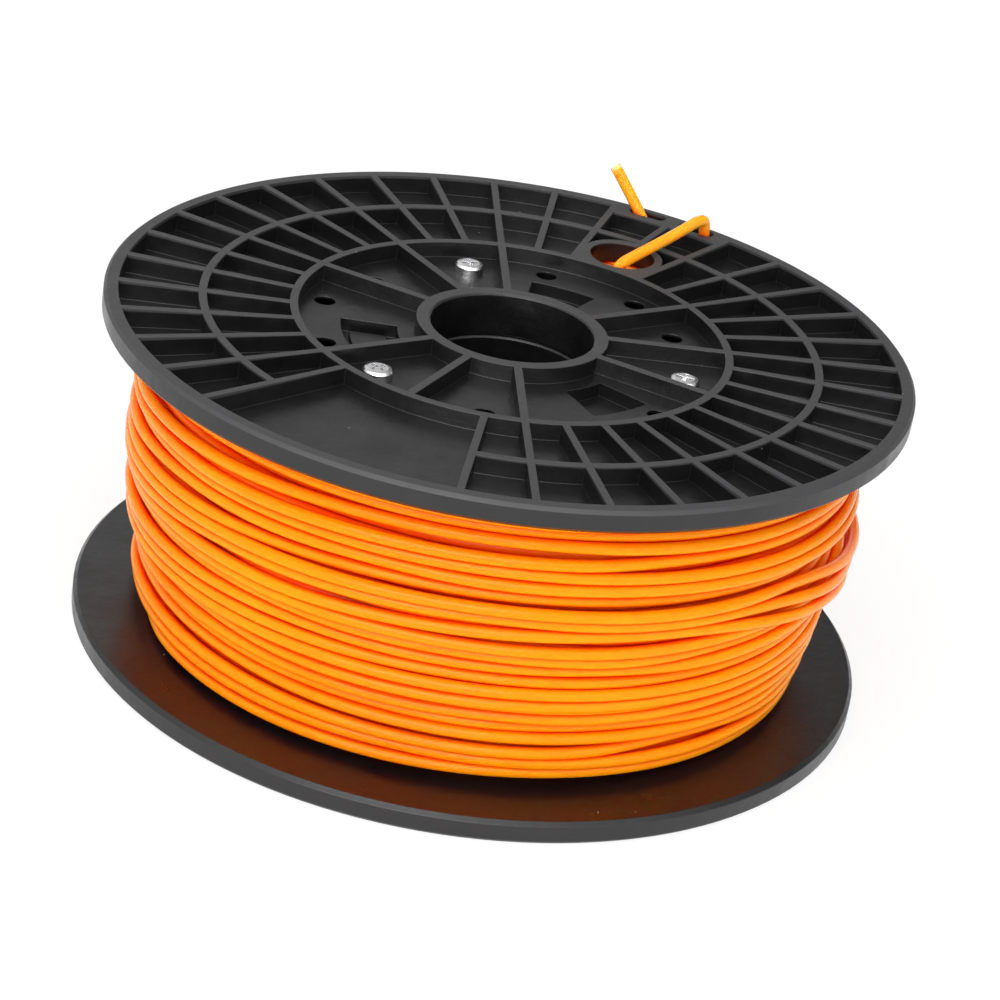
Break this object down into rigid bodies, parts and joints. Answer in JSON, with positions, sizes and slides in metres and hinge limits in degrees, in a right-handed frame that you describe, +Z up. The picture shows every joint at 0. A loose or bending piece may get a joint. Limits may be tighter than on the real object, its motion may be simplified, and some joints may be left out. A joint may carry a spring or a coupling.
{
  "type": "filament spool",
  "caption": "Wound spool of orange filament with ribbed black flanges, a round centre bore, drive pockets and a threaded-through strand start.",
  "frame": {"origin": "on the spool's axis, at the surface that the lower flange stands on", "axes": "+Z up along the spool's axis, +Y away from the viewer of the picture, +X to their right"},
  "size_m": [0.2, 0.2, 0.0983],
  "materials": {
    "black_plastic": "moulded, satin",
    "screw_steel": "bright zinc plate",
    "filament": "glossy, slightly translucent"
  },
  "bodies": {
    "root": {"upper_flange": "black_plastic", "lower_flange": "black_plastic", "barrel": "black_plastic", "upper_screws": "screw_steel", "lower_screws": "screw_steel", "filament_pack": "filament", "filament_outer_layer": "filament", "filament_start": "filament"}
  },
  "joints": []
}
